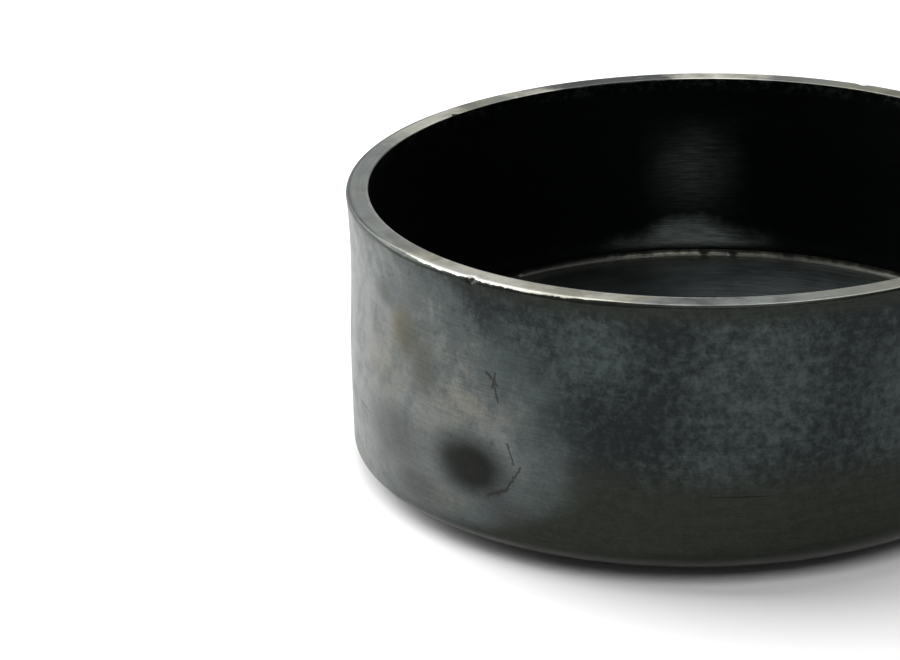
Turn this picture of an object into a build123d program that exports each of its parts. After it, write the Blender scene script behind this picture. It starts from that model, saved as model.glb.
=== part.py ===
"""A low, straight-sided metal bowl, brazed together from a wall ring and a thick base dish.

The wall ring is a heavy hoop whose mouth flares a little and ends in a flat rim. Its foot is
rebated: the inner half, the tongue, drops inside the base dish's collar and stands over the floor,
and the outer half, the shoulder, sits over the collar. Brazing metal fills the gap between the two
and lies as a cove in the corner of the floor. All sizes are in millimetres, +Z is up, and the
origin is the centre of the circle that the bowl stands on.
"""

import os

from build123d import *

# Outside of the bowl
overall_height = 64.0
rim_radius = 80.0  # outside of the mouth
mouth_flare = 0.5  # how much wider the mouth is than the waist below it
waist_drop = 14.5  # from the rim down to the waist
belly_swell = 0.9  # how much wider the seam and the base are than the waist

# Thickness of the wall
rim_width = 5.1
wall_thickness = 4.4
rim_outer_round = 0.7
rim_inner_round = 0.35

# The joint between the wall ring and the base dish
floor_height = 17.0
collar_height = 5.2  # of the base dish's collar, above the floor
collar_width = 2.2
braze_gap = 0.2  # thickness of the film of brazing metal
braze_cove = 1.6  # radius of the cove in the corner of the floor

# Underside
foot_corner_width = 20.0
foot_corner_height = 9.6
foot_ring_width = 13.0  # of the flat ring that the bowl stands on
relief_depth = 1.5  # of the hollow inside that ring
relief_round = 1.0

# Places worked out from the sizes above
waist_height = overall_height - waist_drop
waist_radius = rim_radius - mouth_flare
belly_radius = waist_radius + belly_swell
rim_inner_radius = rim_radius - rim_width
waist_inner_radius = waist_radius - wall_thickness
inner_radius = belly_radius - wall_thickness
collar_inner_radius = belly_radius - collar_width
tongue_radius = collar_inner_radius - braze_gap
tongue_height = floor_height + braze_gap
cove_height = tongue_height + braze_cove
collar_top = floor_height + collar_height
shoulder_height = collar_top + braze_gap
foot_radius = belly_radius - foot_corner_width
relief_radius = foot_radius - foot_ring_width

# Directions in an outline, as radius and height
DOWN = (0, -1)
UP = (0, 1)
OUTWARD = (1, 0)


def spin(*edges):
    """The solid swept by a closed outline, given as edges in radius and height, about +Z."""
    outline = Plane.XZ * make_face(Wire(list(edges)))
    return revolve(outline, Axis.Z)


def rim_edges(hoop):
    """The circles in the plane of the rim, the smallest first."""
    return hoop.edges().filter_by(GeomType.CIRCLE).group_by(Axis.Z)[-1].sort_by(SortBy.RADIUS)


def wall_ring():
    """The hoop from its rebated foot to the flat rim, with both edges of the rim rounded."""
    rim_outer = (rim_radius, overall_height)
    waist_outer = (waist_radius, waist_height)
    foot_outer = (belly_radius, shoulder_height)
    step_top = (tongue_radius, shoulder_height)
    step_foot = (tongue_radius, tongue_height)
    foot_inner = (inner_radius, tongue_height)
    cove_top = (inner_radius, cove_height)
    waist_inner = (waist_inner_radius, waist_height)
    rim_inner = (rim_inner_radius, overall_height)
    hoop = spin(
        TangentArc(waist_outer, rim_outer, tangent=UP),
        Spline(waist_outer, foot_outer, tangents=(DOWN, DOWN)),
        Line(foot_outer, step_top),
        Line(step_top, step_foot),
        Line(step_foot, foot_inner),
        Line(foot_inner, cove_top),
        Spline(cove_top, waist_inner, tangents=(UP, UP)),
        TangentArc(waist_inner, rim_inner, tangent=UP),
        Line(rim_inner, rim_outer),
    )
    hoop = fillet(rim_edges(hoop)[-1], rim_outer_round)
    return fillet(rim_edges(hoop)[0], rim_inner_round)


def base_dish():
    """The thick dish with a rounded corner, a collar round its floor and a relieved underside."""
    corner_top = (belly_radius, foot_corner_height)
    collar_outer = (belly_radius, collar_top)
    collar_inner = (collar_inner_radius, collar_top)
    collar_foot = (collar_inner_radius, floor_height)
    corner = EllipticalCenterArc(
        (foot_radius, foot_corner_height),
        foot_corner_width,
        foot_corner_height,
        start_angle=270,
        arc_size=90,
    )
    dish = spin(
        Line((0, relief_depth), (relief_radius, relief_depth)),
        Line((relief_radius, relief_depth), (relief_radius, 0)),
        Line((relief_radius, 0), (foot_radius, 0)),
        corner,
        Line(corner_top, collar_outer),
        Line(collar_outer, collar_inner),
        Line(collar_inner, collar_foot),
        Line(collar_foot, (0, floor_height)),
        Line((0, floor_height), (0, relief_depth)),
    )
    relief_edge = dish.edges().filter_by(GeomType.CIRCLE).group_by(Axis.Z)[1]
    return fillet(relief_edge, relief_round)


def braze_seam():
    """The brazing metal: a film over the collar, down its inside and under the tongue, and a cove
    that runs from the floor up the inner wall."""
    cove_top = (inner_radius, cove_height)
    cove_lip = (inner_radius - braze_cove, tongue_height)
    film_points = [
        cove_top,
        (inner_radius, tongue_height),
        (tongue_radius, tongue_height),
        (tongue_radius, shoulder_height),
        (belly_radius, shoulder_height),
        (belly_radius, collar_top),
        (collar_inner_radius, collar_top),
        (collar_inner_radius, floor_height),
        (inner_radius - braze_cove, floor_height),
        cove_lip,
    ]
    film_lines = [Line(start, end) for start, end in zip(film_points, film_points[1:])]
    cove = TangentArc(cove_lip, cove_top, tangent=OUTWARD)
    return spin(*film_lines, cove)


def main():
    os.makedirs("parts", exist_ok=True)
    pieces = {"wall_ring": wall_ring(), "base_dish": base_dish(), "braze_seam": braze_seam()}
    for name, piece in pieces.items():
        export_step(piece, f"parts/{name}.step")
        print(name, "volume", round(piece.volume), "mm3")


main()
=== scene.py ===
"""A heavy patinated bowl: a wall hoop brazed into a thick base dish, on a pale studio floor.

Lengths are in metres unless a name or a socket says mm. Angles round the bowl are measured from the
front, which faces -Y, and grow towards +X. The dish, the hoop and the brazing metal are surfaces of
turning with the small unevenness of work dressed by hand, and one shared set of patina groups,
placed by angle, radius and height, runs over all three without a break.
"""

import math

import bpy
import numpy as np
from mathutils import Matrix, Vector


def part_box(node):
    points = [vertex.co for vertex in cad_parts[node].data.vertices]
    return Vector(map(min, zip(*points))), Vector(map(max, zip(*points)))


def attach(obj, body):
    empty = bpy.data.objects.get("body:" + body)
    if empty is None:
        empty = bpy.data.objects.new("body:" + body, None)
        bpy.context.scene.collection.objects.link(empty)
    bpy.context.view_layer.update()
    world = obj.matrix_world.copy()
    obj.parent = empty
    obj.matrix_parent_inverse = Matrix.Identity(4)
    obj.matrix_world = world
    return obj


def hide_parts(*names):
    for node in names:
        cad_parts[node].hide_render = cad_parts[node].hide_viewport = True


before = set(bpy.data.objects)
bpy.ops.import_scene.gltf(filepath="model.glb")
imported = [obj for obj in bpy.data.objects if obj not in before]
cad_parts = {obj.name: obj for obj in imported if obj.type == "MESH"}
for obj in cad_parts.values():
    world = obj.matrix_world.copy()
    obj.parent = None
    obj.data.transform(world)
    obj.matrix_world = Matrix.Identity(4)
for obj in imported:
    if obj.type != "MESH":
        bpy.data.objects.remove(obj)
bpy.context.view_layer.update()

MM = 0.001

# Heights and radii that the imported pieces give
hoop_low, hoop_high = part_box("wall_ring")
dish_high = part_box("base_dish")[1]
braze_low, braze_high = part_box("braze_seam")
belly_radius = dish_high.x
rim_height = hoop_high.z
tongue_height = hoop_low.z
collar_top = dish_high.z
floor_height = braze_low.z
shoulder_height = braze_high.z
braze_gap = tongue_height - floor_height

# Sizes of the wall, the joint and the foot
belly_swell = 0.9 * MM
mouth_flare = 0.5 * MM
waist_drop = 14.5 * MM
rim_width = 5.1 * MM
rim_outer_round = 0.7 * MM
rim_inner_round = 0.35 * MM
wall_thickness = 4.4 * MM
collar_width = 2.2 * MM
braze_cove = 1.6 * MM
foot_corner_width = 20.0 * MM
foot_ring_width = 13.0 * MM
relief_depth = 1.5 * MM
relief_round = 1.0 * MM

waist_height = rim_height - waist_drop
waist_radius = belly_radius - belly_swell
rim_radius = waist_radius + mouth_flare
rim_bore = rim_radius - rim_width
waist_bore = waist_radius - wall_thickness
floor_bore = belly_radius - wall_thickness
collar_bore = belly_radius - collar_width
tongue_radius = collar_bore - braze_gap
cove_height = tongue_height + braze_cove
cove_radius = floor_bore - braze_cove
relief_radius = belly_radius - foot_corner_width - foot_ring_width

# The foot's corner is dressed by hand, so its height changes round the bowl
corner_width = 27.0 * MM
corner_height = 9.6 * MM
corner_drift = 4.0 * MM
corner_high_side = math.radians(86.0)
foot_radius = belly_radius - corner_width

# Where the rows of points lie closer or end
rim_margin = 1.3 * MM  # the closer rows just under the rim
hub_radius = 1.2 * MM  # the smallest ring round the axis
cove_margin = 0.6 * MM  # the plain floor beside the cove

# Knocks on the edges of the rim: angle, half width and depth, and the radius they are struck at
KNOCKS = (
    (-36.5, 0.9 * MM, 0.9 * MM, rim_radius),
    (-33.0, 0.5 * MM, 0.3 * MM, rim_radius),
    (-128.0, 0.8 * MM, 0.5 * MM, rim_bore),
    (-52.0, 0.6 * MM, 0.2 * MM, rim_radius),
    (64.0, 0.8 * MM, 0.5 * MM, rim_radius),
    (151.0, 1.1 * MM, 0.4 * MM, rim_radius),
    (98.0, 0.7 * MM, 0.3 * MM, rim_bore),
)

# Blowholes in the brazing metal, as the angle of each
BLOWHOLES = (180.0, 174.5, -142.0, 96.0, 31.0, -64.0)


# Shapes ------------------------------------------------------------------------------------------


def ease(t):
    """A smooth step from 0 to 1 that is flat at both ends: 3 t squared less 2 t cubed."""
    t = np.clip(t, 0.0, 1.0)
    return t * t * (3.0 - 2.0 * t)


def steps(start, end, count):
    """A column of heights or radii from start to end, without the end."""
    t = np.linspace(0.0, 1.0, count, endpoint=False)[:, None]
    return start + (end - start) * t


def quarter(count):
    """A column of angles over a quarter turn, without the end."""
    return steps(0.0, np.pi / 2, count)


def turns(count, knocks=()):
    """Angles once round the bowl from the back, with closer ones where a knock needs them."""
    even = np.linspace(-np.pi, np.pi, count, endpoint=False)
    close = [math.radians(angle) + np.linspace(-0.026, 0.026, 15) for angle, *_ in knocks]
    return np.unique(np.round(np.concatenate([even, *close]), 6))


def off_angle(turn, degrees):
    """The angle between a direction and one given in degrees, the short way round."""
    return np.mod(turn - math.radians(degrees) + np.pi, 2 * np.pi) - np.pi


def drift(turn, z):
    """How far a dressed surface lies under its true radius: 0 to 0.10 mm, as three sines round the
    bowl that turn slowly with the height."""
    waves = np.sin(2 * turn + 0.8)
    waves = waves + 0.6 * np.sin(5 * turn + 2.1 + z / (9 * MM))
    waves = waves + 0.4 * np.sin(9 * turn - z / (6 * MM))
    return 0.025 * MM * (2.0 + waves)


def flare(z, reach):
    """A circular arc that leaves the vertical at the waist and has gone out by reach at the rim, or
    in where reach is negative."""
    rise = np.clip(z - waist_height, 0.0, waist_drop)
    arc = (waist_drop**2 + reach**2) / (2.0 * abs(reach))
    return math.copysign(1.0, reach) * (arc - np.sqrt(arc**2 - rise**2))


def wall_outside(z):
    """Outside of the wall: a slow smooth step in from the seam to the waist, then the flare."""
    swell = belly_swell * (1.0 - ease((z - shoulder_height) / (waist_height - shoulder_height)))
    return waist_radius + swell + flare(z, mouth_flare)


def wall_inside(z):
    """Inside of the wall, made as the outside is."""
    swell = belly_swell * (1.0 - ease((z - cove_height) / (waist_height - cove_height)))
    return waist_bore + swell + flare(z, rim_bore - waist_bore)


def worn_round(turn):
    """Size of the rounding on the rim's outer edge: wider along the worn front left, as a smooth
    window that is full from 52 to 18 degrees left of the front, and a little uneven all round."""
    window = ease((turn + math.radians(66)) / 0.25) * ease((math.radians(2) - turn) / 0.35)
    uneven = 0.09 * np.sin(7 * turn + 1.0) + 0.06 * np.sin(19 * turn)
    return rim_outer_round * (1.0 + 0.6 * window + uneven)


def knock_in(radius, height, turn):
    """Presses each knock into the rim: a bell-shaped dent down and towards the wall's middle."""
    middle = (rim_radius + rim_bore) / 2
    for degrees, half_width, depth, struck in KNOCKS:
        along = off_angle(turn, degrees) * struck / half_width
        away = np.hypot(radius - struck, height - rim_height) / (1.1 * half_width)
        dent = depth * np.exp(-(along**2) - away**2)
        radius = radius + 0.7 * dent * np.sign(middle - struck)
        height = height - 0.7 * dent
    return radius, height


def outline(parts, turn):
    """Stacks the parts of an outline, each a (radius, height) pair, into two grids of points."""
    grids = [np.broadcast_arrays(radius, height, turn)[:2] for radius, height in parts]
    return np.concatenate([grid[0] for grid in grids]), np.concatenate([grid[1] for grid in grids])


def spin(name, parts, turn, closed=True, reshape=None):
    """Turns an outline into a shell. Its rows run up the outside and down the inside. A closed one
    joins its last row to its first, and an open one is closed by a point on the axis at each end."""
    radius, height = outline(parts, turn)
    if reshape:
        radius, height = reshape(radius, height, turn)
    points = np.stack([radius * np.sin(turn), -radius * np.cos(turn), height], -1).reshape(-1, 3)
    index = np.arange(radius.size).reshape(radius.shape)
    first = index if closed else index[:-1]
    after = np.roll(index, -1, axis=0) if closed else index[1:]
    corners = (first, np.roll(first, -1, axis=1), np.roll(after, -1, axis=1), after)
    faces = np.stack(corners, -1).reshape(-1, 4).tolist()
    if not closed:
        start, end = index[0], index[-1]
        poles = [(0.0, 0.0, height[0].mean()), (0.0, 0.0, height[-1].mean())]
        pole = np.full_like(start, len(points))
        faces += np.stack([pole, np.roll(start, -1), start], -1).tolist()
        faces += np.stack([pole + 1, end, np.roll(end, -1)], -1).tolist()
        points = np.concatenate([points, poles])
    mesh = bpy.data.meshes.new(name)
    mesh.from_pydata(points, [], faces)
    mesh.polygons.foreach_set("use_smooth", np.ones(len(mesh.polygons), bool))
    mesh.set_sharp_from_angle(angle=math.radians(40))
    mesh.update()
    piece = bpy.data.objects.new(name, mesh)
    bpy.context.scene.collection.objects.link(piece)
    return piece


def make_hoop():
    """The wall: up the outside, round both edges of the rim, down the bore and round the rebate."""
    turn = turns(880, KNOCKS)
    outer = worn_round(turn)
    inner = rim_inner_round * (1.0 + 0.3 * np.sin(6 * turn))
    rim_drift = drift(turn, rim_height)
    up = steps(shoulder_height, rim_height - rim_margin, 34)
    last_up = steps(rim_height - rim_margin, rim_height - outer, 3)
    down = steps(rim_height - rim_inner_round * 1.3, cove_height, 26)
    edge = quarter(7)
    edge_out = rim_radius - rim_drift
    parts = [
        (wall_outside(up) - drift(turn, up), up),
        (wall_outside(last_up) - rim_drift, last_up),
        (edge_out - outer * (1 - np.cos(edge)), rim_height - outer * (1 - np.sin(edge))),
        (steps(edge_out - outer, rim_bore + inner, 8), rim_height),
        (rim_bore + inner * (1 - np.sin(edge)), rim_height - inner * (1 - np.cos(edge))),
        (wall_inside(down) + 0.6 * drift(turn, down), down),
        (floor_bore, steps(cove_height, tongue_height, 2)),
        (steps(floor_bore, tongue_radius, 2), tongue_height),
        (tongue_radius, steps(tongue_height, shoulder_height, 2)),
        (steps(tongue_radius, belly_radius - drift(turn, shoulder_height), 2), shoulder_height),
    ]
    return spin("wall_hoop", parts, turn, reshape=knock_in)


def make_dish():
    """The base: the hollow underneath, the foot's flat ring, the dressed corner, the side up to the
    collar, the collar, and the floor with its faint turning marks."""
    turn = turns(720)
    high_side = np.cos(turn - corner_high_side)
    tall = corner_height + corner_drift * high_side
    edge = quarter(26)
    tight = quarter(5)
    side = steps(tall, collar_top, 9)
    corner_z = tall * (1 - np.cos(edge))
    corner_drop = drift(turn, corner_z) * np.sin(edge)
    floor = steps(cove_radius - cove_margin, hub_radius, 46)
    marks = 0.03 * MM * np.sin(floor / (0.9 * MM) + 0.5 * np.sin(turn)) * ease(floor / (8 * MM))
    dished = 0.12 * MM * (1.0 - (floor / cove_radius) ** 2)
    inner_relief = relief_radius - relief_round
    parts = [
        (steps(hub_radius, inner_relief, 12), relief_depth),
        (
            inner_relief + relief_round * np.sin(tight),
            relief_depth - relief_round * (1 - np.cos(tight)),
        ),
        (relief_radius, steps(relief_depth - relief_round, 0.0, 2)),
        (steps(relief_radius, foot_radius, 4), 0.0),
        (foot_radius + corner_width * np.sin(edge) - corner_drop, corner_z),
        (belly_radius - drift(turn, side), side),
        (steps(belly_radius - drift(turn, collar_top), collar_bore, 2), collar_top),
        (collar_bore, steps(collar_top, floor_height, 2)),
        (steps(collar_bore, cove_radius - cove_margin, 3), floor_height),
        (floor, floor_height - dished + marks),
    ]
    return spin("base_metal", parts, turn, closed=False)


def blow_out(radius, height, turn):
    """Runs lumps along the cove and sinks each blowhole into the corner that it fills."""
    corner = np.hypot(radius - floor_bore, height - tongue_height)
    on_cove = ease((corner - 0.3 * braze_cove) / (0.3 * braze_cove)) * (radius < floor_bore - 1e-6)
    lumps = 0.5 * np.sin(23 * turn) + 0.3 * np.sin(57 * turn + 1.0) + 0.2 * np.sin(131 * turn)
    sink = 0.10 * MM * (1.0 + lumps)
    for degrees in BLOWHOLES:
        half_width = (1.1 + 0.4 * math.sin(degrees)) * MM
        sink = sink + 0.75 * MM * np.exp(-((off_angle(turn, degrees) * floor_bore / half_width) ** 2))
    inward = on_cove * np.clip(sink, 0.0, 0.9 * MM) / np.maximum(corner, 0.1 * MM)
    return radius + inward * (floor_bore - radius), height + inward * (tongue_height - height)


def seam_sink(turn):
    """How far the film stands back from the wall: hardly at all where the seam was dressed over, and
    0.14 mm along the open stretches."""
    open_stretch = ease(1.1 * np.cos(3 * turn - 0.25) + 0.5 * np.sin(17 * turn) - 0.75)
    return (0.005 + 0.135 * open_stretch) * MM


def make_braze():
    """The brazing metal: the film over the collar, down its inside and under the tongue, ending in a
    cove that leaves the floor level and meets the bore upright."""
    turn = turns(1500)
    seam = belly_radius - drift(turn, collar_top) - seam_sink(turn)
    edge = quarter(10)
    lip = cove_radius
    parts = [
        (seam, steps(collar_top, shoulder_height, 2)),
        (steps(seam, tongue_radius, 2), shoulder_height),
        (tongue_radius, steps(shoulder_height, tongue_height, 2)),
        (steps(tongue_radius, floor_bore, 2), tongue_height),
        (floor_bore, steps(tongue_height, cove_height, 2)),
        (lip + braze_cove * np.cos(edge), cove_height - braze_cove * np.sin(edge)),
        (lip, steps(tongue_height, floor_height, 2)),
        (steps(lip, collar_bore, 2), floor_height),
        (collar_bore, steps(floor_height, collar_top, 2)),
        (steps(collar_bore, seam, 2), collar_top),
    ]
    return spin("brazing_seam", parts, turn, reshape=blow_out)


# Node recipes --------------------------------------------------------------------------------------


class Recipe:
    """Puts nodes into one node tree. What feeds an input is a socket or a plain value."""

    def __init__(self, tree):
        self.tree = tree

    def feed(self, socket, value):
        if isinstance(value, bpy.types.NodeSocket):
            self.tree.links.new(value, socket)
        else:
            socket.default_value = value

    def add(self, kind, inputs=None, **settings):
        node = self.tree.nodes.new(kind)
        for name, value in settings.items():
            setattr(node, name, value)
        for name, value in (inputs or {}).items():
            self.feed(node.inputs[name], value)
        return node

    def math(self, operation, *values):
        node = self.add("ShaderNodeMath", dict(enumerate(values)), operation=operation)
        return node.outputs[0]

    def times(self, value, factor):
        return self.math("MULTIPLY", value, factor)

    def fade(self, value, start, end, low=0.0, high=1.0):
        """low up to start, high from end on, and a smooth step between them."""
        inputs = dict(enumerate((value, start, end, low, high)))
        node = self.add("ShaderNodeMapRange", inputs, interpolation_type="SMOOTHSTEP")
        return node.outputs[0]

    def window(self, value, start, end, soft):
        """1 between start and end, and 0 beyond soft outside them."""
        rise = self.fade(value, start - soft, start + soft)
        fall = self.fade(value, end - soft, end + soft, 1.0, 0.0)
        return self.times(rise, fall)

    def both(self, *masks):
        result = masks[0]
        for mask in masks[1:]:
            result = self.times(result, mask)
        return result

    def sum(self, *values):
        result = values[0]
        for value in values[1:]:
            result = self.math("ADD", result, value)
        return result

    def noise(self, point, scale, detail=3.0, roughness=0.55):
        """Noise from 0 to 1. A place in millimetres makes the scale a number of lumps per mm."""
        inputs = {"Vector": point, "Scale": scale, "Detail": detail, "Roughness": roughness}
        return self.add("ShaderNodeTexNoise", inputs).outputs["Fac"]

    def blend(self, amount, first, second):
        """A colour that goes from first to second as the amount goes from 0 to 1."""
        inputs = {0: amount, 6: first, 7: second}
        return self.add("ShaderNodeMix", inputs, data_type="RGBA").outputs[2]

    def between(self, amount, first, second):
        """A number that goes from first to second as the amount goes from 0 to 1."""
        return self.add("ShaderNodeMix", {0: amount, 2: first, 3: second}).outputs[0]

    def brighten(self, color, factor):
        """The colour times a number."""
        inputs = {0: color, 3: factor}
        return self.add("ShaderNodeVectorMath", inputs, operation="SCALE").outputs[0]

    def vector(self, x, y, z):
        return self.add("ShaderNodeCombineXYZ", {0: x, 1: y, 2: z}).outputs[0]

    def join(self, operation, first, second):
        """A vector made from two others, term by term."""
        return self.add("ShaderNodeVectorMath", {0: first, 1: second}, operation=operation).outputs[0]

    def dot(self, first, second):
        node = self.add("ShaderNodeVectorMath", {0: first, 1: second}, operation="DOT_PRODUCT")
        return node.outputs["Value"]

    def length(self, vector):
        return self.add("ShaderNodeVectorMath", {0: vector}, operation="LENGTH").outputs["Value"]

    def ramp(self, value, stops):
        """A colour from evenly or unevenly placed stops, each a place from 0 to 1 and a colour."""
        node = self.add("ShaderNodeValToRGB", {0: value})
        elements = node.color_ramp.elements
        for element, (place, color) in zip(elements, (stops[0], stops[-1])):
            element.position = place
            element.color = color
        for place, color in stops[1:-1]:
            elements.new(place).color = color
        return node.outputs[0]

    def use(self, group, **inputs):
        """Places a shared group. An input's name is its socket's, with _ for a space."""
        node = self.add("ShaderNodeGroup", node_tree=bpy.data.node_groups[group])
        for name, value in inputs.items():
            self.feed(node.inputs[name.replace("_", " ")], value)
        return node.outputs


SOCKETS = {"number": "NodeSocketFloat", "place": "NodeSocketVector", "color": "NodeSocketColor"}


def group(name, takes, gives, make):
    """Makes a node group. takes and gives name its sockets and their kinds, and make, called with
    the recipe and the group's inputs, returns what feeds each output."""
    tree = bpy.data.node_groups.new(name, "ShaderNodeTree")
    for label, kind in takes.items():
        tree.interface.new_socket(label, in_out="INPUT", socket_type=SOCKETS[kind])
    for label, kind in gives.items():
        tree.interface.new_socket(label, in_out="OUTPUT", socket_type=SOCKETS[kind])
    recipe = Recipe(tree)
    start = recipe.add("NodeGroupInput")
    end = recipe.add("NodeGroupOutput")
    results = make(recipe, start.outputs)
    for label, value in results.items():
        recipe.feed(end.inputs[label], value)


def shade(red, green, blue):
    """A linear colour with full alpha."""
    return (red, green, blue, 1.0)


# Finishes as linear colours
SILVER_OXIDE = shade(0.140, 0.150, 0.147)
WARM_OXIDE = shade(0.142, 0.142, 0.126)
STEEL_OXIDE = shade(0.060, 0.074, 0.073)
CLOUD_OXIDE = shade(0.045, 0.0575, 0.0565)
BLACK_OXIDE = shade(0.0125, 0.0155, 0.0155)
# Olive oxide low on the black side, also the colour of the painted shade on the edges
OLIVE_OXIDE_AND_SHADE = shade(0.0180, 0.0205, 0.0155)
HEAT_OXIDE = shade(0.0050, 0.0060, 0.0046)
STRAW_STAIN = shade(0.088, 0.076, 0.043)
DRAB_STAIN = shade(0.042, 0.044, 0.032)
VIOLET_OXIDE = shade(0.043, 0.046, 0.046)
SCRATCH_BROWN = shade(0.017, 0.015, 0.013)
BORE_BLACK = shade(0.0030, 0.0040, 0.0040)
# Pale steel for the flecks under the rim and for the painted sheen on the bore's back
BORE_STEEL_AND_SHEEN = shade(0.27, 0.30, 0.29)
# Worn blue-grey of the floor, laid on more to the right as painted light
FLOOR_OXIDE_AND_LIGHT = shade(0.125, 0.147, 0.147)
RIM_GREY = shade(0.225, 0.240, 0.230)
RIM_DARK = shade(0.105, 0.112, 0.107)
RIM_TAN = shade(0.285, 0.280, 0.225)
RIM_CREAM = shade(0.50, 0.495, 0.435)
RIM_WHITE = shade(0.42, 0.415, 0.385)
RIM_BARE = shade(0.72, 0.71, 0.65)
BRAZE_BRASS = shade(0.185, 0.180, 0.148)

FULL_TURN = 360.0
ARC_MM = 1.4  # arc on the wall for one degree
RIM_MM = rim_radius / MM
RIM_BORE_MM = rim_bore / MM
RIM_HEIGHT_MM = rim_height / MM
WALL_MIDDLE_MM = 77.2  # a radius that lies within the metal of the wall at every height
BELOW_FLOOR_MM = 16.3  # height just under the floor
FRONT_HEIGHT_MM = 24.0  # where the front of the black oxide stands furthest right
FRONT_LEFT = 21.0  # and how many degrees left of the bowl's front it stands there
SHEEN_BEHIND = 178.0  # turns the middle of the painted sheen band on the bore to 0 degrees


def bowl_place(recipe, _):
    """Where a point is: angle from the front in degrees, radius, height and place in millimetres."""
    objects = recipe.add("ShaderNodeTexCoord").outputs["Object"]
    point = recipe.brighten(objects, 1 / MM)
    x, y, z = recipe.add("ShaderNodeSeparateXYZ", {0: point}).outputs
    angle = recipe.math("DEGREES", recipe.math("ARCTAN2", x, recipe.times(y, -1.0)))
    radius = recipe.length(recipe.vector(x, y, 0.0))
    return {"Angle": angle, "Radius": radius, "Height": z, "Point": point}


def brush_lines(recipe, inputs):
    """Marks of abrasive drawn round the turning work: long fine lines, and shorter strokes. Both are
    noise that is stretched along the circle and changes quickly with radius plus height."""
    turn = recipe.math("RADIANS", inputs["Angle"])
    across = recipe.math("ADD", inputs["Radius"], inputs["Height"])
    results = {}
    for name, cells, pitch in (("Lines", 3.4, 2.9), ("Strokes", 13.0, 2.1)):
        x = recipe.times(recipe.math("COSINE", turn), cells)
        y = recipe.times(recipe.math("SINE", turn), cells)
        spot = recipe.vector(x, y, recipe.times(across, pitch))
        results[name] = recipe.noise(spot, 1.0, 3.0, 0.65)
    return results


def soft_spot(recipe, inputs):
    """An oval spot with a soft edge, centred on an angle and a height. Uneven, from -0.5 to 0.5,
    makes the edge ragged."""
    off = recipe.math("SUBTRACT", inputs["Angle"], inputs["At Angle"])
    off = recipe.math("WRAP", off, FULL_TURN / 2, -FULL_TURN / 2)
    along = recipe.math("DIVIDE", recipe.times(off, ARC_MM), inputs["Half Width"])
    rise = recipe.math("SUBTRACT", inputs["Height"], inputs["At Height"])
    up = recipe.math("DIVIDE", rise, inputs["Half Height"])
    away = recipe.length(recipe.vector(along, up, 0.0))
    away = recipe.math("ADD", away, recipe.times(inputs["Uneven"], inputs["Ragged"]))
    inside = recipe.math("SUBTRACT", 1.0, inputs["Softness"])
    outside = recipe.math("ADD", 1.0, inputs["Softness"])
    return {"Mask": recipe.fade(away, inside, outside, 1.0, 0.0)}


def scratch(recipe, inputs):
    """A scratch: near the straight line between two places on the wall. Spot is the place on the
    unrolled wall in millimetres, moved a little at random so that the line wanders."""
    start = recipe.vector(recipe.times(inputs["Angle 1"], ARC_MM), inputs["Height 1"], 0.0)
    end = recipe.vector(recipe.times(inputs["Angle 2"], ARC_MM), inputs["Height 2"], 0.0)
    way = recipe.join("SUBTRACT", end, start)
    gone = recipe.join("SUBTRACT", inputs["Spot"], start)
    share = recipe.math("DIVIDE", recipe.dot(gone, way), recipe.dot(way, way))
    share = recipe.math("MINIMUM", recipe.math("MAXIMUM", share, 0.0), 1.0)
    distance = recipe.length(recipe.join("SUBTRACT", gone, recipe.brighten(way, share)))
    return {"Mask": recipe.fade(distance, 0.0, inputs["Width"], 1.0, 0.0)}


# Marks on the outside: angle, height, half width and half height in mm, softness, raggedness
HEAT_MARKS = (
    (-37.4, 21.6, 9.2, 6.3, 0.55, 0.7),
    (74.0, 30.0, 11.0, 8.0, 0.5, 0.8),
    (158.0, 19.0, 9.0, 7.0, 0.45, 0.7),
    (-126.0, 41.0, 7.0, 6.0, 0.6, 1.0),
)
HALO_MARKS = (
    (-39.5, 21.4, 11.0, 7.8, 0.5, 1.2),
    (-35.2, 11.0, 4.6, 3.4, 0.6, 2.6),
    (-33.0, 43.0, 4.5, 5.5, 0.7, 1.6),
)
STRAW_MARKS = (
    (-53.6, 46.5, 3.4, 4.4, 0.8, 1.2),
    (118.0, 36.0, 6.0, 8.0, 0.8, 1.4),
)
DRAB_MARKS = (
    (-47.8, 40.2, 4.6, 6.0, 0.8, 1.2),
    (-51.0, 44.5, 4.6, 5.0, 0.8, 1.2),
    (-59.0, 52.0, 3.0, 2.4, 0.8, 1.8),
)
WARM_MARKS = (
    (-41.0, 11.5, 8.0, 3.6, 0.7, 1.0),
    (-26.6, 19.5, 4.0, 4.5, 0.7, 1.0),
    (-39.0, 35.0, 12.0, 4.0, 0.8, 1.2),
    (-58.0, 36.0, 9.0, 8.0, 0.8, 1.2),
)
VIOLET_MARKS = (
    (-56.0, 20.5, 11.0, 7.0, 0.7, 1.3),
    (-50.0, 12.0, 9.0, 5.0, 0.8, 1.4),
    (-31.5, 13.0, 5.5, 3.6, 0.7, 1.8),
)
CLOUD_MARKS = (
    (-29.0, 50.0, 7.0, 8.0, 0.9, 0.6),
    (8.0, 46.0, 15.0, 17.0, 0.7, 1.6),
    (2.0, 29.0, 8.0, 5.0, 0.8, 1.8),
    (-17.0, 52.0, 11.0, 9.0, 0.7, 1.6),
    (-27.0, 47.0, 10.0, 12.0, 0.7, 1.6),
    (36.0, 40.0, 18.0, 14.0, 0.8, 1.6),
    (88.0, 48.0, 16.0, 12.0, 0.8, 1.6),
    (140.0, 36.0, 18.0, 15.0, 0.8, 1.6),
    (-150.0, 40.0, 20.0, 14.0, 0.8, 1.6),
)

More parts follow.
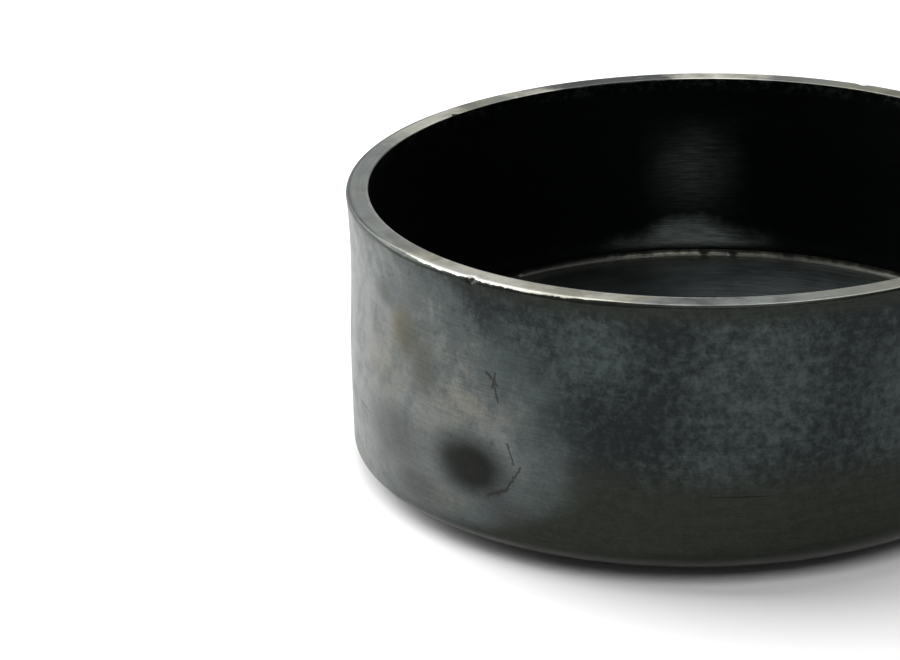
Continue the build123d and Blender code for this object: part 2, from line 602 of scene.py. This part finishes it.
# Scratches on the outside: from angle and height to angle and height, and width in mm
SCRATCHES = (
    (-34.0, 43.8, -32.0, 41.4, 0.60),
    (-33.0, 42.6, -31.9, 37.8, 0.45),
    (-32.4, 44.0, -33.0, 40.6, 0.50),
    (-30.2, 29.0, -29.2, 24.6, 0.34),
    (-28.0, 24.4, -30.5, 18.6, 0.45),
    (-30.5, 18.6, -34.0, 16.2, 0.80),
    (-70.0, 21.2, -64.5, 20.8, 0.30),
    (62.0, 47.0, 66.0, 43.0, 0.5),
    (131.0, 27.0, 139.0, 25.0, 0.4),
    (-112.0, 33.0, -108.0, 27.0, 0.4),
)


def marks(recipe, place, uneven, spots):
    """The strongest of several soft spots at each point."""
    result = 0.0
    for angle, height, half_width, half_height, softness, ragged in spots:
        spot = recipe.use(
            "soft_spot",
            Angle=place["Angle"],
            Height=place["Height"],
            Uneven=uneven,
            At_Angle=angle,
            At_Height=height,
            Half_Width=half_width,
            Half_Height=half_height,
            Softness=softness,
            Ragged=ragged,
        )
        result = recipe.math("MAXIMUM", result, spot["Mask"])
    return result


def scratched(recipe, place):
    """All the scratches of the outside as one mask."""
    wander = recipe.add("ShaderNodeTexNoise", {"Vector": place["Point"], "Scale": 0.9, "Detail": 3.0})
    wander = recipe.join("SUBTRACT", wander.outputs["Color"], (0.5, 0.5, 0.5))
    unrolled = recipe.vector(recipe.times(place["Angle"], ARC_MM), place["Height"], 0.0)
    spot = recipe.join("ADD", unrolled, recipe.brighten(wander, 1.3))
    spot = recipe.join("MULTIPLY", spot, (1.0, 1.0, 0.0))
    result = 0.0
    for angle, height, to_angle, to_height, width in SCRATCHES:
        sizes = {"Angle_1": angle, "Height_1": height, "Angle_2": to_angle, "Height_2": to_height}
        one = recipe.use("scratch", Spot=spot, Width=width, **sizes)
        result = recipe.math("MAXIMUM", result, one["Mask"])
    return result


def past_front(recipe, place, fine):
    """How many degrees a point lies right of a curved front in the oxide, negative to its left. The
    front stands furthest right at one height and falls back to the left above and below it. Mottling
    moves it, most of all high on the wall."""
    angle, height, point = place["Angle"], place["Height"], place["Point"]
    above = recipe.math("MAXIMUM", recipe.math("SUBTRACT", height, FRONT_HEIGHT_MM), 0.0)
    below = recipe.math("MAXIMUM", recipe.math("SUBTRACT", FRONT_HEIGHT_MM, height), 0.0)
    bend = recipe.sum(
        recipe.times(recipe.times(above, above), 0.0165),
        recipe.times(recipe.times(below, below), 0.062),
    )
    broad = recipe.math("SUBTRACT", recipe.noise(point, 0.11, 3.0, 0.6), 0.5)
    ragged = recipe.sum(recipe.times(broad, 22.0), recipe.times(fine, 34.0))
    mottled = recipe.fade(height, 20.0, 46.0, 0.25, 1.0)
    return recipe.sum(angle, FRONT_LEFT, bend, recipe.times(ragged, mottled))


# Stains on the silver oxide: where, how strong and in what colour
STAINS = (
    (VIOLET_MARKS, 0.80, VIOLET_OXIDE),
    (HALO_MARKS, 0.60, STEEL_OXIDE),
    (STRAW_MARKS, 0.85, STRAW_STAIN),
    (DRAB_MARKS, 0.75, DRAB_STAIN),
)


def silver_side(recipe, place, fine, soft, slow, turning):
    """Silver oxide with warm and steel-blue areas, stains, and black freckles high on the left.
    turning is 1 where it goes over to the black oxide."""
    warm = marks(recipe, place, soft, WARM_MARKS)
    warm = recipe.math("MAXIMUM", warm, recipe.fade(slow, 0.50, 0.70, 0.0, 0.7))
    color = recipe.blend(warm, SILVER_OXIDE, WARM_OXIDE)
    left = recipe.window(place["Angle"], -60.0, -20.0, 7.0)
    high_left = recipe.both(left, recipe.fade(place["Height"], 38.0, 54.0))
    steel = recipe.sum(
        recipe.times(soft, 3.0),
        recipe.times(fine, 1.4),
        recipe.between(high_left, -0.10, 0.42),
    )
    steel = recipe.fade(steel, -0.35, 0.55, 0.0, 0.75)
    color = recipe.blend(steel, color, STEEL_OXIDE)
    color = recipe.blend(recipe.times(turning, 0.85), color, CLOUD_OXIDE)
    for spots, strength, stain in STAINS:
        stained = recipe.times(marks(recipe, place, soft, spots), strength)
        color = recipe.blend(stained, color, stain)
    freckles = recipe.both(recipe.fade(fine, 0.07, 0.17), recipe.fade(soft, -0.06, 0.10))
    freckles = recipe.times(freckles, recipe.between(high_left, 0.25, 0.75))
    return recipe.blend(freckles, color, BLACK_OXIDE)


def black_side(recipe, place, fine, soft):
    """Black oxide, olive low down, with broken blue-grey clouds over its upper part."""
    height = place["Height"]
    clouded = recipe.sum(
        recipe.times(soft, 1.9),
        recipe.times(fine, 2.6),
        recipe.times(marks(recipe, place, soft, CLOUD_MARKS), 0.72),
        -0.38,
    )
    clouds = recipe.both(recipe.fade(clouded, -0.55, 1.0), recipe.fade(height, 20.0, 30.0, 0.12, 1.0))
    color = recipe.blend(recipe.fade(height, 32.0, 20.0), BLACK_OXIDE, OLIVE_OXIDE_AND_SHADE)
    return recipe.blend(clouds, color, CLOUD_OXIDE)


def painted_shade_edges(recipe, place, fine):
    """Painted shade, to be laid on in olive: under the foot's corner, on the lip below the rim, and
    on the rim's outer rounding."""
    angle, height = place["Angle"], place["Height"]
    under = recipe.both(recipe.fade(height, 9.5, 4.0), recipe.fade(angle, -66.0, -44.0, 0.35, 1.0))
    lip = recipe.both(recipe.fade(height, 58.8, 62.6), recipe.fade(angle, -50.0, -22.0, 0.15, 0.8))
    edge = recipe.math("ADD", height, recipe.times(fine, 1.5))
    edge = recipe.fade(edge, 62.4, 62.9, 0.0, 0.75)
    return recipe.math("MAXIMUM", recipe.math("MAXIMUM", under, lip), edge)


def outer_patina(recipe, inputs):
    """The outside of wall and base: silver oxide left of the front and black oxide right of it, with
    heat marks, scratches, pits and brush lines over both. On the far side of the bowl, broad patches
    of the two take turns."""
    angle, height, point = inputs["Angle"], inputs["Height"], inputs["Point"]
    brushed = recipe.use("brush_lines", Angle=angle, Radius=inputs["Radius"], Height=height)
    fine = recipe.math("SUBTRACT", recipe.noise(point, 0.50, 5.0, 0.74), 0.5)
    soft = recipe.math("SUBTRACT", recipe.noise(point, 0.13, 5.0, 0.66), 0.5)
    slow = recipe.noise(point, 0.030, 3.0, 0.55)

    past = past_front(recipe, inputs, fine)
    patches = recipe.sum(slow, recipe.times(fine, 0.22), recipe.times(soft, 0.25))
    near_side = recipe.window(angle, -112.0, 40.0, 18.0)
    patched = recipe.fade(patches, 0.39, 0.57)
    darkened = recipe.between(near_side, patched, recipe.fade(past, -5.0, 6.0))
    patch_turning = recipe.fade(patches, 0.33, 0.47, 0.4, 1.0)
    turning = recipe.between(near_side, patch_turning, recipe.fade(past, -17.0, -2.0))

    silver = silver_side(recipe, inputs, fine, soft, slow, turning)
    color = recipe.blend(darkened, silver, black_side(recipe, inputs, fine, soft))
    # Painted shade: olive under the foot's corner, on the lip below the rim and on the rim's outer
    # rounding
    color = recipe.blend(painted_shade_edges(recipe, inputs, fine), color, OLIVE_OXIDE_AND_SHADE)
    heat = marks(recipe, inputs, soft, HEAT_MARKS)
    color = recipe.blend(recipe.times(heat, 0.97), color, HEAT_OXIDE)
    scored = scratched(recipe, inputs)
    color = recipe.blend(recipe.times(scored, 0.85), color, SCRATCH_BROWN)
    pitted = recipe.noise(point, 1.5, 2.0)
    pits = recipe.fade(pitted, 0.70, 0.78)
    color = recipe.blend(recipe.times(pits, 0.5), color, SCRATCH_BROWN)
    color = recipe.blend(recipe.fade(pitted, 0.165, 0.14), color, RIM_CREAM)
    tone = recipe.sum(
        recipe.fade(brushed["Lines"], 0.28, 0.72, 0.93, 1.07),
        recipe.fade(brushed["Strokes"], 0.28, 0.72, -0.12, 0.12),
        recipe.fade(fine, -0.2, 0.2, -0.12, 0.12),
        recipe.fade(pitted, 0.3, 0.7, -0.08, 0.08),
    )
    roughness = recipe.sum(
        recipe.fade(soft, -0.2, 0.2, 0.37, 0.46),
        recipe.times(heat, 0.06),
        recipe.fade(brushed["Strokes"], 0.3, 0.7, -0.03, 0.03),
    )
    relief = recipe.sum(
        recipe.times(brushed["Lines"], 0.006),
        recipe.times(brushed["Strokes"], 0.006),
        recipe.times(fine, 0.012),
        recipe.times(scored, -0.05),
        recipe.times(pits, -0.03),
    )
    return {"Color": recipe.brighten(color, tone), "Roughness": roughness, "Relief": relief}


def painted_bore_sheen(recipe, inputs, fine, strokes):
    """Painted sheen on the bore's back, streaked along the brush strokes, as an amount from 0 to 1: a
    band above the joint that tapers off to both sides, and a bright patch above it."""
    behind = recipe.math("ADD", inputs["Angle"], SHEEN_BEHIND)
    behind = recipe.math("WRAP", behind, FULL_TURN / 2, -FULL_TURN / 2)
    uneven = recipe.math("SUBTRACT", recipe.noise(inputs["Point"], 0.11, 4.0, 0.6), 0.5)
    behind = recipe.math("ADD", recipe.math("ABSOLUTE", behind), recipe.times(uneven, 7.0))
    ragged = recipe.sum(recipe.times(uneven, 5.0), recipe.times(fine, 1.2))
    uneven_height = recipe.math("ADD", inputs["Height"], ragged)
    tapered = recipe.math("ADD", uneven_height, recipe.fade(behind, 0.0, 20.0, 0.0, 6.0))
    band = recipe.both(
        recipe.fade(inputs["Height"], 18.9, 21.5),
        recipe.fade(tapered, 22.5, 30.5, 1.1, 0.0),
        recipe.fade(behind, 21.0, 0.0, 0.05, 1.0),
    )
    # A painted highlight: the bright patch on the bore above the band
    rubbed = recipe.both(
        recipe.window(uneven_height, 34.0, 48.0, 10.0),
        recipe.fade(behind, 12.0, -3.0, 0.0, 0.40),
    )
    streaks = recipe.fade(strokes, 0.36, 0.62, 0.60, 1.1)
    return recipe.times(recipe.math("MAXIMUM", band, rubbed), streaks)


def turned_floor(recipe, inputs, fine, lines):
    """The floor: black oxide that is worn to blue-grey along its turning rings, with painted light
    making it paler on the right, a tan margin beside the brazing metal, and a few specks."""
    point = inputs["Point"]
    x = recipe.add("ShaderNodeSeparateXYZ", {0: point}).outputs["X"]
    soft = recipe.noise(point, 0.07, 4.0, 0.6)
    rings = recipe.fade(lines, 0.36, 0.64, 0.0, 0.26)
    worn = recipe.math("ADD", rings, recipe.fade(soft, 0.25, 0.75, 0.06, 0.42))
    # Painted light: the worn blue-grey grows towards +X, so the floor is paler on the right
    worn = recipe.times(worn, recipe.fade(x, -14.0, 17.0, 0.45, 2.0))
    color = recipe.blend(worn, BLACK_OXIDE, FLOOR_OXIDE_AND_LIGHT)
    margin = recipe.both(
        recipe.fade(inputs["Radius"], 70.5, 73.5, 0.0, 0.16),
        recipe.fade(fine, 0.3, 0.6, 0.5, 1.0),
    )
    color = recipe.blend(margin, color, RIM_TAN)
    specks = recipe.fade(recipe.noise(point, 0.9, 1.0), 0.80, 0.84)
    return recipe.blend(specks, color, RIM_GREY)


def inner_patina(recipe, inputs):
    """The bore and the floor: black oxide on the bore, a painted brushed sheen on its back, a few
    pale flecks under the rim, and the turned floor."""
    angle, height = inputs["Angle"], inputs["Height"]
    brushed = recipe.use("brush_lines", Angle=angle, Radius=inputs["Radius"], Height=height)
    fine = recipe.noise(inputs["Point"], 0.5, 5.0, 0.7)
    # Painted sheen: bright steel laid on the bore's back where it faces the front
    bright = painted_bore_sheen(recipe, inputs, fine, brushed["Strokes"])
    color = recipe.blend(bright, BORE_BLACK, BORE_STEEL_AND_SHEEN)
    flecks = recipe.both(recipe.fade(height, 60.0, 63.5, 0.0, 0.12), recipe.fade(fine, 0.48, 0.62))
    color = recipe.blend(flecks, color, BORE_STEEL_AND_SHEEN)
    floor = turned_floor(recipe, inputs, fine, brushed["Lines"])
    color = recipe.blend(recipe.fade(height, 17.9, 17.3), color, floor)
    color = recipe.brighten(color, recipe.fade(brushed["Lines"], 0.3, 0.7, 0.85, 1.15))
    roughness = recipe.fade(brushed["Strokes"], 0.3, 0.7, 0.42, 0.52)
    relief = recipe.sum(
        recipe.times(brushed["Lines"], 0.010),
        recipe.times(brushed["Strokes"], 0.009),
        recipe.times(fine, 0.010),
    )
    return {"Color": color, "Roughness": roughness, "Relief": relief}


# The rim's top by angle: dark, tan and grey oxide, and the bright stretches where it is worn bare
RIM_TONES = (
    (-180.0, RIM_BARE),
    (-176.0, RIM_CREAM),
    (-170.0, RIM_DARK),
    (-153.0, RIM_DARK),
    (-146.0, RIM_CREAM),
    (-140.0, RIM_GREY),
    (-133.0, RIM_TAN),
    (-126.0, RIM_CREAM),
    (-117.0, RIM_CREAM),
    (-106.0, RIM_GREY),
    (-60.0, RIM_GREY),
    (-48.0, RIM_TAN),
    (-40.0, RIM_CREAM),
    (-30.0, RIM_CREAM),
    (-22.0, RIM_TAN),
    (-15.0, RIM_CREAM),
    (-10.0, RIM_TAN),
    (-6.0, RIM_GREY),
    (0.0, RIM_DARK),
    (10.0, RIM_GREY),
    (44.0, RIM_TAN),
    (64.0, RIM_GREY),
    (118.0, RIM_DARK),
    (150.0, RIM_TAN),
    (163.0, RIM_GREY),
    (172.0, RIM_CREAM),
    (180.0, RIM_BARE),
)


def rim_tone(recipe, angle, soft):
    """The tone of the rim's top from its table, with the places where it changes moved a little."""
    shifted = recipe.math("ADD", angle, recipe.fade(soft, 0.2, 0.8, -6.0, 6.0))
    shifted = recipe.math("WRAP", shifted, FULL_TURN / 2, -FULL_TURN / 2)
    share = recipe.math("DIVIDE", recipe.math("ADD", shifted, FULL_TURN / 2), FULL_TURN)
    stops = [((degrees + FULL_TURN / 2) / FULL_TURN, tone) for degrees, tone in RIM_TONES]
    return recipe.ramp(share, stops)


def rim_finish(recipe, inputs):
    """The flat rim: oxide tones that change round it, bare metal on its outer edge at the front left
    and along its inner edge at the front, painted shade on its outer edge on the left, and fine marks
    along it."""
    angle, radius, point = inputs["Angle"], inputs["Radius"], inputs["Point"]
    brushed = recipe.use("brush_lines", Angle=angle, Radius=radius, Height=inputs["Height"])
    fine = recipe.noise(point, 0.8, 5.0, 0.65)
    soft = recipe.noise(point, 0.16, 4.0, 0.6)
    color = rim_tone(recipe, angle, soft)
    most_worn = recipe.window(angle, -46.0, -35.0, 6.0)
    worn_line = recipe.sum(
        radius,
        recipe.fade(fine, 0.3, 0.7, -0.9, 0.9),
        recipe.times(most_worn, 1.8),
    )
    outer_edge = recipe.both(
        recipe.fade(worn_line, RIM_MM - 1.6, RIM_MM - 0.4, 0.0, 0.8),
        recipe.window(angle, -56.0, -22.0, 6.0),
    )
    inner_edge = recipe.both(
        recipe.fade(radius, RIM_BORE_MM + 0.8, RIM_BORE_MM + 0.4),
        recipe.fade(fine, 0.35, 0.55, 0.3, 0.8),
        recipe.window(angle, -84.0, 20.0, 14.0),
    )
    bright = recipe.math("MAXIMUM", outer_edge, inner_edge)
    color = recipe.blend(bright, color, RIM_WHITE)
    # Painted shade: the rim's outer edge on the left darkened
    painted_edge_shade = recipe.both(
        recipe.fade(radius, RIM_MM - 1.3, RIM_MM - 0.7, 0.0, 0.9),
        recipe.window(angle, -130.0, -58.0, 7.0),
    )
    color = recipe.blend(painted_edge_shade, color, RIM_DARK)
    color = recipe.blend(recipe.fade(fine, 0.62, 0.74, 0.0, 0.5), color, RIM_DARK)
    color = recipe.brighten(color, recipe.fade(brushed["Lines"], 0.3, 0.7, 0.90, 1.10))
    roughness = recipe.between(bright, recipe.fade(soft, 0.3, 0.7, 0.40, 0.48), 0.46)
    relief = recipe.sum(
        recipe.times(brushed["Lines"], 0.012),
        recipe.times(fine, 0.03),
        recipe.fade(recipe.noise(point, 1.1, 2.0), 0.66, 0.74, 0.0, -0.05),
    )
    return {"Color": color, "Roughness": roughness, "Relief": relief}


PLACE = {"Angle": "number", "Radius": "number", "Height": "number", "Point": "place"}
SPOT_SIZES = ("At Angle", "At Height", "Half Width", "Half Height", "Softness", "Ragged")
SPOT = dict.fromkeys(("Angle", "Height", "Uneven", *SPOT_SIZES), "number")
SCRATCH_SIZES = ("Angle 1", "Height 1", "Angle 2", "Height 2", "Width")
SCRATCH = {"Spot": "place"} | dict.fromkeys(SCRATCH_SIZES, "number")
FINISH = {"Color": "color", "Roughness": "number", "Relief": "number"}

group("bowl_place", {}, PLACE, bowl_place)
group("brush_lines", PLACE, {"Lines": "number", "Strokes": "number"}, brush_lines)
group("soft_spot", SPOT, {"Mask": "number"}, soft_spot)
group("scratch", SCRATCH, {"Mask": "number"}, scratch)
group("outer_patina", PLACE, FINISH, outer_patina)
group("inner_patina", PLACE, FINISH, inner_patina)
group("rim_finish", PLACE, FINISH, rim_finish)


def start_metal(name):
    """A metal material with its shader plain, and a recipe to fill it."""
    material = bpy.data.materials.new(name)
    material.use_nodes = True
    shader = material.node_tree.nodes["Principled BSDF"]
    shader.inputs["Metallic"].default_value = 0.9
    return material, Recipe(material.node_tree), shader


def located(recipe, group_name, place):
    """A finish group with the place of the point fed to it."""
    return recipe.use(group_name, **{label: place[label] for label in PLACE})


def mix_finish(recipe, amount, first, second):
    """One finish laid over another: a colour, a roughness and a relief."""
    return {
        "Color": recipe.blend(amount, first["Color"], second["Color"]),
        "Roughness": recipe.between(amount, first["Roughness"], second["Roughness"]),
        "Relief": recipe.between(amount, first["Relief"], second["Relief"]),
    }


def close_metal(recipe, shader, finish):
    """Feeds the shader. The relief is in millimetres."""
    bump = recipe.add("ShaderNodeBump", {"Height": finish["Relief"], "Distance": MM, "Strength": 1.0})
    recipe.feed(shader.inputs["Base Color"], finish["Color"])
    recipe.feed(shader.inputs["Roughness"], finish["Roughness"])
    recipe.feed(shader.inputs["Normal"], bump.outputs["Normal"])


def inside_mask(recipe, place):
    """1 on the bore and the floor, 0 on the outside."""
    return recipe.both(
        recipe.fade(place["Radius"], WALL_MIDDLE_MM + 0.2, WALL_MIDDLE_MM - 0.2),
        recipe.fade(place["Height"], BELOW_FLOOR_MM - 0.3, BELOW_FLOOR_MM + 0.3),
    )


def patinated_wall():
    """The wall inside and outside, and the rim, whose finish reaches a chipped way down the worn
    outer edge."""
    material, recipe, shader = start_metal("patinated_wall")
    place = recipe.use("bowl_place")
    outer = located(recipe, "outer_patina", place)
    inner = located(recipe, "inner_patina", place)
    rim = located(recipe, "rim_finish", place)
    finish = mix_finish(recipe, inside_mask(recipe, place), outer, inner)
    worn = recipe.window(place["Angle"], -49.0, -18.0, 5.0)
    chipped = recipe.fade(recipe.noise(place["Point"], 0.5, 4.0, 0.6), 0.30, 0.70, 0.12, 0.42)
    rounding = recipe.math("ADD", place["Height"], recipe.times(worn, chipped))
    on_rim = recipe.fade(rounding, RIM_HEIGHT_MM - 0.16, RIM_HEIGHT_MM - 0.01)
    finish = mix_finish(recipe, on_rim, finish, rim)
    close_metal(recipe, shader, finish)
    return material


def patinated_base():
    """The base's outside and floor, and a foot ring rubbed bare where it stands."""
    material, recipe, shader = start_metal("patinated_base")
    place = recipe.use("bowl_place")
    outer = located(recipe, "outer_patina", place)
    inner = located(recipe, "inner_patina", place)
    finish = mix_finish(recipe, inside_mask(recipe, place), outer, inner)
    rubbed = recipe.fade(recipe.noise(place["Point"], 0.3, 5.0, 0.65), 0.40, 0.60)
    standing = recipe.both(
        recipe.fade(place["Height"], 0.35, 0.05),
        recipe.window(place["Radius"], relief_radius / MM, foot_radius / MM + 1.0, 1.0),
        rubbed,
    )
    color = recipe.blend(recipe.times(standing, 0.7), finish["Color"], RIM_GREY)
    close_metal(recipe, shader, finish | {"Color": color})
    return material


def brazing_metal():
    """Brassy filler under the same oxide, showing through on the cove inside, more on the right as
    painted light.
    """
    material, recipe, shader = start_metal("brazing_metal")
    place = recipe.use("bowl_place")
    outer = located(recipe, "outer_patina", place)
    inner = located(recipe, "inner_patina", place)
    inside = inside_mask(recipe, place)
    finish = mix_finish(recipe, inside, outer, inner)
    brass_and_light = recipe.fade(recipe.noise(place["Point"], 0.35, 5.0, 0.65), 0.34, 0.66, 0.10, 0.55)
    # Painted light: the brass fades out towards -X and is full towards +X
    x = recipe.add("ShaderNodeSeparateXYZ", {0: place["Point"]}).outputs["X"]
    brass_and_light = recipe.both(brass_and_light, recipe.fade(x, -34.0, -4.0, 0.12, 1.0))
    color = recipe.blend(recipe.times(brass_and_light, inside), finish["Color"], BRAZE_BRASS)
    lumps = recipe.times(recipe.noise(place["Point"], 0.9, 4.0), 0.08)
    relief = recipe.math("ADD", finish["Relief"], lumps)
    close_metal(recipe, shader, finish | {"Color": color, "Relief": relief})
    return material


def dress(piece, material, node):
    """Gives a piece its finish, puts it on the body and hides its CAD node."""
    piece.data.materials.append(material)
    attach(piece, "root")
    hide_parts(node)


dress(make_hoop(), patinated_wall(), "wall_ring")
dress(make_dish(), patinated_base(), "base_dish")
dress(make_braze(), brazing_metal(), "braze_seam")


# Studio --------------------------------------------------------------------------------------------

LENS_MM = 120.0
SENSOR_MM = 36.0
camera_elevation = math.radians(18.78)
camera_distance = 8.415 * rim_radius
mouth_right = 0.2817  # of the picture's width, from its middle to the middle of the mouth
mouth_up = 0.1707


def make_camera():
    """A camera held level and turned so that the mouth lies right of and above the middle of the
    picture."""
    data = bpy.data.cameras.new("camera")
    data.lens = LENS_MM
    data.sensor_width = SENSOR_MM
    camera = bpy.data.objects.new("camera", data)
    bpy.context.scene.collection.objects.link(camera)
    bpy.context.scene.camera = camera
    back = Vector((0.0, -math.cos(camera_elevation), math.sin(camera_elevation)))
    camera.location = Vector((0.0, 0.0, rim_height)) + camera_distance * back
    spread = SENSOR_MM / LENS_MM
    ahead = Vector((0.0, 0.0, -1.0))
    mouth = Vector((mouth_right * spread, mouth_up * spread, -1.0))
    camera.rotation_mode = "QUATERNION"
    straight = (-back).to_track_quat("-Z", "Y")
    camera.rotation_quaternion = straight @ ahead.rotation_difference(mouth).inverted()


def make_softbox(name, place, target, size, power):
    """A rectangular softbox that lights the bowl and doesn't show itself."""
    data = bpy.data.lights.new(name, "AREA")
    data.shape = "RECTANGLE"
    data.size, data.size_y = size
    data.energy = power
    lamp = bpy.data.objects.new(name, data)
    lamp.location = place
    lamp.rotation_euler = (Vector(target) - Vector(place)).to_track_quat("-Z", "Y").to_euler()
    lamp.visible_camera = False
    bpy.context.scene.collection.objects.link(lamp)


def make_world(strength):
    """An even white surrounding light."""
    world = bpy.data.worlds.new("studio")
    bpy.context.scene.world = world
    world.use_nodes = True
    background = world.node_tree.nodes["Background"]
    background.inputs["Color"].default_value = (1.0, 1.0, 1.0, 1.0)
    background.inputs["Strength"].default_value = strength


def make_floor():
    """A pale floor, wide enough to reach past every view."""
    half = 6.0
    corners = [(-half, -half, 0.0), (half, -half, 0.0), (half, half, 0.0), (-half, half, 0.0)]
    mesh = bpy.data.meshes.new("studio_floor")
    mesh.from_pydata(corners, [], [(0, 1, 2, 3)])
    material = bpy.data.materials.new("pale_floor")
    material.use_nodes = True
    shader = material.node_tree.nodes["Principled BSDF"]
    shader.inputs["Base Color"].default_value = (0.85, 0.85, 0.85, 1.0)
    shader.inputs["Roughness"].default_value = 0.8
    shader.inputs["Specular IOR Level"].default_value = 0.1
    mesh.materials.append(material)
    floor = bpy.data.objects.new("studio_floor", mesh)
    bpy.context.scene.collection.objects.link(floor)


make_camera()
make_softbox("key", (-1.2, 0.5, 0.9), (0.0, 0.0, 0.03), (1.4, 1.2), 36)
make_softbox("top", (0.1, 0.6, 1.6), (0.0, 0.0, 0.0), (1.6, 1.2), 20)
make_softbox("front", (0.3, -1.2, 1.4), (0.0, 0.0, 0.02), (1.2, 0.9), 18)
make_world(0.16)
make_floor()
bpy.context.scene.view_settings.view_transform = "Standard"


def corners(box):
    """A box's two corners as plain lists."""
    return [[float(number) for number in corner] for corner in box]
